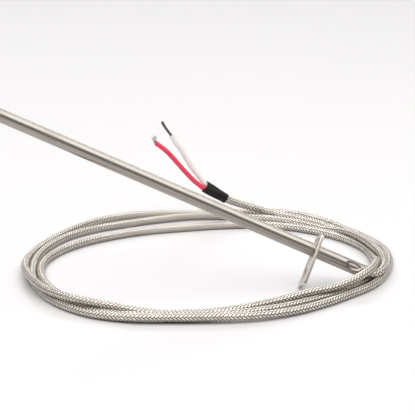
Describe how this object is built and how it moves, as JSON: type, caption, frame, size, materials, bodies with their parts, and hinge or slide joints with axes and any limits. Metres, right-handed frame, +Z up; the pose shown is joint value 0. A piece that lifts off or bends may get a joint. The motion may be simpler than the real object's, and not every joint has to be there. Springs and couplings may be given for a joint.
{
  "type": "thermocouple probe",
  "caption": "Tube and wire thermocouple probe: a thin steel sheath with a slotted mounting tab and a crimp, on a coiled steel-braided cable ending in a red and a white lead.",
  "frame": {"origin": "on the table, under the middle of the sheath and its tab", "axes": "+Z up from the table; +X from the sheath's tip towards its cable end; +Y from the sheath towards the middle of the coil, so the crimp faces -Y"},
  "size_m": [0.2267, 0.1654, 0.1018],
  "materials": {
    "drawn_steel": "bright drawn",
    "sheet_steel": "satin",
    "steel_braid": "woven bright wire",
    "black_shrink_tube": "satin",
    "red_insulation": "smooth",
    "white_insulation": "smooth",
    "iron_conductor": "dull",
    "alloy_conductor": "bright",
    "ceramic_cement": "rough, ceramic"
  },
  "bodies": {
    "root": {"sheath_tube": "drawn_steel", "mounting_tab": "sheet_steel", "cable_gripped_end": "steel_braid", "cable_exit": "steel_braid", "cable_coil": "steel_braid", "cable_free_end": "steel_braid", "heat_shrink_sleeve": "black_shrink_tube", "red_lead": "red_insulation", "white_lead": "white_insulation", "red_lead_strands": "alloy_conductor", "white_lead_strands": "iron_conductor", "red_core_wire": "red_insulation", "white_core_wire": "white_insulation", "red_conductor_tip": "alloy_conductor", "white_conductor_tip": "iron_conductor", "junction_bead": "alloy_conductor", "tip_cement": "ceramic_cement"}
  },
  "joints": []
}
